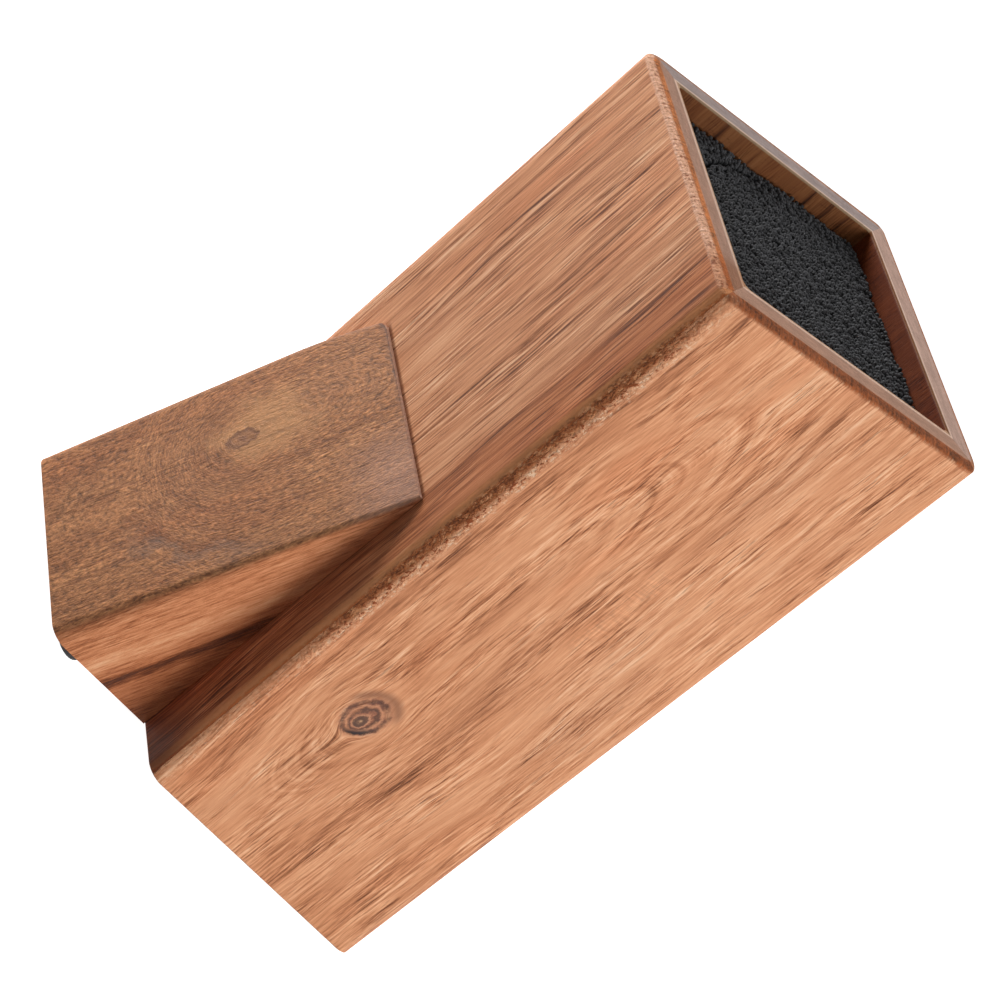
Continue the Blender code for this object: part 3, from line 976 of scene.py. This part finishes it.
def finish_rim(face, name):
    """A rim: end grain on top, painted grey and lighter as a sheen, and a band of torn fibres and one of
    sunk-in oil on its rounding.
    """
    tree, side = face.tree, SIDES[name]
    speck = crumbs(face, 0.9)
    blotch = patches(face, 7, 2.5, 7)
    depth = depth_under(face, name)
    torn_line = patches(face, 0.9, 3.5, 3.5, detail=3, roughness=0.7)
    torn_line = torn_line + fine_cloud(tree, face.inward / 0.9, depth / 3.5, 3.3) * 0.5
    broken = speck + torn_line
    reach = sum(CORNERS[end].reach for end in BOARD_ENDS[name]) / 2
    middle = reach * side.bare
    ragged = depth + speck * 0.25 + torn_line * 0.25
    rounded = (face.along + torn_line * 0.25).rise(-2.1, -1.3)
    torn = rounded * ragged.rise(middle + 0.35, middle - 0.35)
    pink = torn * side.torn
    stain(face, pink * (0.85 + speck * 0.5), RIM_PINK, speck * 0.45 + torn_line * 0.45)
    stain(face, pink * broken.rise(-0.2, -0.7) * 0.9, RIM_PIT)
    stain(face, pink * broken.rise(0.25, 0.7) * 0.8, RIM_FLECK)
    soaked = rounded * ragged.rise(middle - 0.35, middle + 0.35) * depth.rise(reach + 0.2, reach - 0.5)
    stain(face, soaked * side.soaked, side.oiled, speck * 0.9 + blotch * 0.6 + torn_line * 0.8)
    # painted sheen: the flat top painted grey and lighter than its end grain
    flat = face.along.rise(-0.5, -0.2) * depth.rise(reach - 0.5, reach + 0.2)
    streaks = fine_cloud(tree, face.across / 8, face.inward / 1.1, 7.1)
    stain(face, flat * 0.92, side.grey, speck * 0.26 + blotch * 0.16 + streaks * 0.22)
    lip = flat * depth.rise(WALL / MM - 1.9, WALL / MM - 1.1)
    stain(face, lip * 0.9, RIM_LIP, speck * 0.3)
    face.height = face.height + broken * (torn + soaked * 0.5) * 2.0


def paint_inside_shade(face, name):
    """The cavity's walls are painted darker, as painted shade inside the tube, with darker patches over it.
    """
    inside = face.inward.rise(WALL / MM - 1.4, WALL / MM - 0.4)
    # painted shade: the inner face darkened inside the tube
    darken(face, inside, SIDES[name].inner)
    tears = patches(face, 3.0, 1.0, 0.9, detail=3, roughness=0.7)
    darken(face, inside * tears.rise(0.25, 0.7) * 0.55, (0.45, 0.36, 0.32))


def finish_right(face):
    """Fibres torn out along the edge shared with the front board, pale with brown pits."""
    speck = crumbs(face, 1.1, 1.5) + crumbs(face, 2.4, 1.6) * 0.6
    edge = (face.across + speck * 0.8).rise(7.2, 4.2)
    length = window(face.along, -150, -14, 16) * 0.75 + 0.25
    torn = edge * length
    stain(face, torn * 0.5, (232, 166, 124), speck * 0.35)
    stain(face, torn * speck.rise(0.12, 0.30), (146, 74, 36))
    stain(face, torn * speck.rise(-0.12, -0.34) * 0.9, (255, 214, 178))
    drift = cloud(face.tree, face.across / 8, 5.5, face.along / 14) * 0.6
    ragged = (face.across + speck * 1.3 + drift).rise(3.9, 2.6) * length
    stain(face, ragged * 0.9, (156, 84, 37), speck * 0.6)
    stain(face, ragged * speck.rise(-0.12, -0.34) * 0.8, (214, 146, 98))
    stain(face, ragged * speck.rise(0.10, 0.32) * 0.8, (96, 50, 22))
    face.height = face.height + speck * torn * 5.0


def painted_wedge_shade(face):
    """Painted shade in the corner between foot and tube: how dark it is painted there; it deepens towards the
    ground.
    """
    foot_edge = (FOOT_HIGH.x + HALF_WIDTH) / MM
    drop = (face.along + FOOT_TOP / MM) * -1
    beyond = face.across - foot_edge + drop * (FOOT_FLARE / FOOT_FACE)
    rise = drop.most(0) * math.tan(FOOT_SPREAD)
    return (rise / (beyond.most(0) + 5)).rise(0.4, 7.5)


def finish_front(face):
    """The front board, orange and then dark brown towards the eased edge it shares with the right board, with
    painted shade beside the foot, under its crest and near the ground.
    """
    width = 2 * HALF_WIDTH / MM
    speck = crumbs(face, 1.1, 1.7) + crumbs(face, 2.4, 1.8) * 0.6
    streak = patches(face, 1.5, 1.5, 25)
    across = face.across + streak * 0.35 + speck * 0.25
    # painted shade in the corner beside the foot; the reddish tint fades where it lies
    painted_corner_shade = painted_wedge_shade(face)
    reddish = across.rise(width - 21, width - 14) * (1 - painted_corner_shade)
    darken(face, reddish * 0.9, (0.75, 0.60, 0.47))
    band = across.rise(width - 4.4, width - 3.2)
    stain(face, band * 0.85, (214, 140, 86), streak * 0.14 + speck * 0.14)
    dark = across.rise(width - 2.4, width - 1.6)
    stain(face, dark * 0.9, (170, 90, 40), streak * 0.2 + speck * 0.45)
    torn = across.rise(width - 3.2, width - 1.6) * (window(face.along, -125, -12, 18) * 0.8 + 0.2)
    stain(face, torn * speck.rise(0.10, 0.32) * 0.7, (108, 56, 26))
    stain(face, torn * speck.rise(-0.12, -0.36) * 0.8, (230, 164, 116))
    face.height = face.height + speck * torn * 5.0
    # painted shade: the corner beside the foot darkened, deepest near the ground
    darken(face, painted_corner_shade * face.inward.rise(3, 1), (0.98, 0.54, 0.34))
    # painted shadow: a dark line on the front board under the foot's crest
    painted_contact_shadow = face.along.near(-FOOT_TOP / MM, 1.3, 0.3) * face.inward.rise(1, 0.3)
    darken(face, painted_contact_shadow * across.rise(91, 88) * across.rise(18, 22), (0.35, 0.28, 0.24))
    # painted shade: the front board darkened near the ground beside the foot
    ground = face.along.rise(-188, -212) * across.rise(60, 84) * face.inward.rise(3, 1)
    darken(face, ground, (0.40, 0.34, 0.30))


def finish_foot(face):
    """The foot's weathered outer face, with a small knot, and its orange sides in layers parallel to it,
    painted darker near the tube as painted shade.
    """
    tree = face.tree
    across, along, ring = face.across, face.along, face.radius
    soft = cloud(tree, across / 9, along / 9, 7.7)
    rough = fine_cloud(tree, across / 2.5, along / 3.5, 1.3)
    eye_x, eye_y = (along + 40) / 17, (across - 26.5) / 12.5
    eye = (hypot(eye_x, eye_y) + soft * 0.4 + rough * 0.35).rise(1.35, 0.35)
    threads = fine_cloud(tree, (across - 27) * (1.4 - eye * 0.4) / 1.6, 3.3, along / 12)
    stain(face, eye * 0.6, (206, 150, 100), threads * 0.5)
    darken(face, eye * threads.rise(0.2, 0.9) * 0.5, (0.62, 0.52, 0.45))
    groundward = along.rise(-42, -56)
    for place, half_width, strength in ((14.5, 6.0, 0.6), (28.0, 3.0, 0.3), (38.0, 4.5, 0.6)):
        arc = (ring + soft * 4 + rough * 1.5).near(place, half_width)
        darken(face, arc * groundward * strength, (0.60, 0.52, 0.50))
    grey = (ring + soft * 5 + rough * 2).near(42, 4.5) * across.rise(38, 55)
    stain(face, grey * window(along, -84, -46, 8) * 0.4, (104, 90, 84), threads * 0.3)
    pale = (across + rough * 3).rise(40, 62) * (along + rough * 2).rise(-26, -4)
    stain(face, pale * 0.4, (196, 154, 136), threads * 0.3)
    knot_x, knot_y = (along + 46.2) / 4.6, (across - 27.9) / 2.9
    wobble = cloud(tree, across / 1.6, along / 1.6, 2.2, detail=2) * 0.3
    knot = hypot(knot_x, knot_y) + wobble
    stain(face, knot.rise(1.25, 0.9) * 0.7, (150, 100, 68), threads * 0.4)
    stain(face, knot.near(0.95, 0.32, 0.08) * (0.5 + threads * 0.35), (84, 50, 38))
    stain(face, knot.rise(0.42, 0.2) * 0.6, (104, 66, 50))

    normal = Field(tree, face.point.socket.node.outputs["Normal"])
    up = dot(tree, normal, LIFT_AXIS)
    stain(face, up.rise(0.75, 0.95) * 0.85, (188, 152, 134), threads * 0.5)
    stain(face, up.near(0.60, 0.25, 0.05) * 0.8, (82, 54, 42))

    layer = face.inward + cloud(tree, across / 30, face.inward / 6, along / 60) * 1.2
    bands = cloud(tree, layer / 3.4, 4.4, along / 160) + cloud(tree, layer / 1.1, 1.4, along / 70) * 0.6
    fibre = cloud(tree, layer / 0.5, across / 0.5, along / 9, detail=4, roughness=0.75)
    tone = 0.50 + bands * 0.17 + fibre * 0.5
    tone = tone + layer.near(16, 4.0) * 0.3 - layer.near(24, 3.5) * 0.4
    under = shade_colour(tree, ramp(tree, tone, LIGHT_STOPS), (0.95, 0.84, 0.76))
    stain(face, face.inward.rise(0.4, 1.6), under)
    # painted shade: the foot's sides darkened near the tube
    depth = place_along(tree, face.point, INWARD, RIM_CORNER) * -1
    near = (depth / ((along * -1).most(1.0) * 0.30)).rise(1.0, 0.0)
    darken(face, near * face.inward.rise(2.0, 4.0) * 0.9, (0.62, 0.46, 0.34))


def make_timbers():
    """The boards' axes and grain. Each is measured from its own outer edge nearest the front or the left."""
    right = Vector((1, 0, 0))
    rim_right = from_tube(HALF_WIDTH, 0, 0)
    rim_left = from_tube(-HALF_WIDTH, 0, 0)
    return {
        "right": Timber(
            rim_right, INWARD, -right, LIFT_AXIS, 3.7, heart=(33, -112), core=9, taper=0.2, taper_reach=90,
            stops=LIGHT_STOPS, tone=0.575, rings=0.12, pores=0.8, threads=0.28, fibre=0.6, thread=(1.0, 70),
            dash=12, stray=0.4,
            knots=(Knot(32.8, -165.5, 7.4, 1.12),),
            ripple=(61, 5, -110, -76, 0.18),
            streaks=(
                Streak(10, 4.5, -20, -215, -0.17),
                Streak(53, 5.0, -60, -150, -0.13),
                Streak(57, 6.0, -130, -240, -0.15),
                Streak(67, 3.0, -10, -240, 0.10),
                Streak(78, 2.0, -10, -240, 0.08),
                Streak(91, 2.2, -10, -240, 0.08),
                Streak(85, 2.5, -10, -240, -0.08),
            ),
            side="right", finish=finish_right,
        ),
        "front": Timber(
            rim_left, right, INWARD, LIFT_AXIS, 9.2, heart=(43, -95), core=14, taper=0.16, taper_reach=80,
            stops=LIGHT_STOPS, tone=0.55, rings=0.15, pores=0.9, threads=0.46, fibre=0.75, straight=0.75,
            thread=(0.85, 110), dash=20, stray=0.2,
            streaks=(
                Streak(43, 9, -98, -75, 0.16),
                Streak(56, 5, -64, -15, -0.13),
                Streak(92, 12, -220, 0, -0.12),
            ),
            side="front", finish=finish_front,
        ),
        "back": Timber(
            rim_left + INWARD * TUBE_DEPTH, right, -INWARD, LIFT_AXIS, 14.6, heart=(58, -150), core=24,
            taper=0.14, taper_reach=120, stops=LIGHT_STOPS, tone=0.49, side="back",
        ),
        "left": Timber(
            rim_left, INWARD, right, LIFT_AXIS, 21.3, heart=(66, -60), core=18, taper=0.17, taper_reach=110,
            stops=LIGHT_STOPS, tone=0.49, dash=14, side="left",
            streaks=(
                Streak(18, 9.0, -240, 0, -0.22),
                Streak(32, 1.6, -240, 0, -0.55),
                Streak(68, 1.1, -240, 0, -0.55),
                Streak(76, 1.6, -240, 0, -0.35),
                Streak(84, 2.0, -240, 0, -0.30),
            ),
        ),
        "base": Timber(
            from_tube(-HALF_WIDTH, 0, -FRONT_LENGTH), INWARD, LIFT_AXIS, right, 30.1, heart=(50, 50), core=40,
            taper=0.1, taper_reach=90, stops=BROWN_STOPS, tone=0.5,
        ),
        "foot": Timber(
            FOOT_CREST + right * FOOT_LOW.x, right, FOOT_INWARD, FOOT_SLOPE, 5.1, heart=(27, -44), core=5,
            taper=1.0, taper_reach=34, stops=BROWN_STOPS, tone=0.48, rings=0.09, pores=0.55, pebble=0.95,
            threads=0.16, fibre=0.45, opens=0.3, finish=finish_foot,
        ),
    }


def rubber():
    made, tree, point = new_material("black_rubber_dots")
    world_axes = ((1, 0, 0), (0, 1, 0), (0, 0, 1))
    x, y, z = (place_along(tree, point, axis, (0, 0, 0)) for axis in world_axes)
    grain = cloud(tree, x / 0.35, y / 0.35, z / 0.35, detail=3)
    dust = cloud(tree, x / 1.6, y / 1.6, z / 1.6).rise(0.1, 0.9)
    colour = mix(tree, dust * 0.5, srgb(26, 26, 28), srgb(58, 56, 55))
    end_material(tree, colour, 0.72 + grain * 0.06, 0.5, grain, 0.04 * MM)
    return made


def bristle():
    """Charcoal plastic, a little different from rod to rod, and painted darker below the tips as painted
    shade between the rods.
    """
    made, tree, point = new_material("charcoal_bristle")
    across, back, along = (place_along(tree, point, axis, RIM_CORNER) for axis in TUBE_AXES)
    rod = cloud(tree, across / 1.3, back / 1.3, along / 400, detail=1).rise(-0.8, 0.8)
    scuff = cloud(tree, across / 0.4, back / 0.4, along / 2.5, detail=2)
    tips = tube_box("bristles_main")[1][2] / MM
    # painted shade: each rod darkened below its tip, where the rods shade one another
    down = along.rise(tips - 2.4, tips - 0.2)
    colour = mix(tree, rod, srgb(7, 7, 8), srgb(80, 80, 83))
    colour = shade(tree, colour, down * 0.85 + 0.15)
    colour = shade(tree, colour, 1 + scuff * 0.25)
    end_material(tree, colour, 0.62 + rod * 0.1 + scuff * 0.05, 0.3, scuff, 0.02 * MM)
    return made


def beech():
    made, tree, point = new_material("beech_dowels")
    across, length, up = (place_along(tree, point, axis, RIM_CORNER) for axis in TUBE_AXES)
    streak = cloud(tree, across / 0.7, up / 0.7, length / 12, detail=3)
    fleck = cloud(tree, across / 0.35, up / 0.35, length / 1.8, detail=1).rise(0.35, 0.8)
    colour = mix(tree, streak.rise(-1, 1), srgb(205, 168, 124), srgb(226, 194, 152))
    colour = shade(tree, colour, 1 - fleck * 0.25)
    end_material(tree, colour, 0.62 + streak * 0.05, 0.5, streak - fleck, 0.05 * MM)
    return made


# ---- The scene

make_camera()
make_lights()
make_floor()

TIMBERS = make_timbers()
for side, (half, place) in BOARD_PLACES.items():
    board = make_board(side, half, place)
    dress(board, "block", acacia(f"acacia_{side}", TIMBERS[side]), "acacia", f"{side}_board")

base = make_block("inner_base_wood", *tube_box("inner_base"), 0.6 * MM, 0.5 * MM)
dress(base, "block", acacia("acacia_base", TIMBERS["base"]), "acacia", "inner_base")
foot = make_foot()
dress(foot, "block", acacia("acacia_foot_wood", TIMBERS["foot"]), "acacia_foot", "support_foot")

RUBBER_LOOK = rubber()
for node in ("pad_foot_left", "pad_foot_right", "pad_back_left", "pad_back_right"):
    dress(make_pad(node), "block", RUBBER_LOOK, "black_rubber", node)

BEECH_LOOK = beech()
for node in ("foot_dowel_1", "foot_dowel_2"):
    dowel = frame["nodes"][node]
    dowel.data.materials.clear()
    dowel.data.materials.append(BEECH_LOOK)

make_insert(bristle())

bpy.context.view_layer.update()
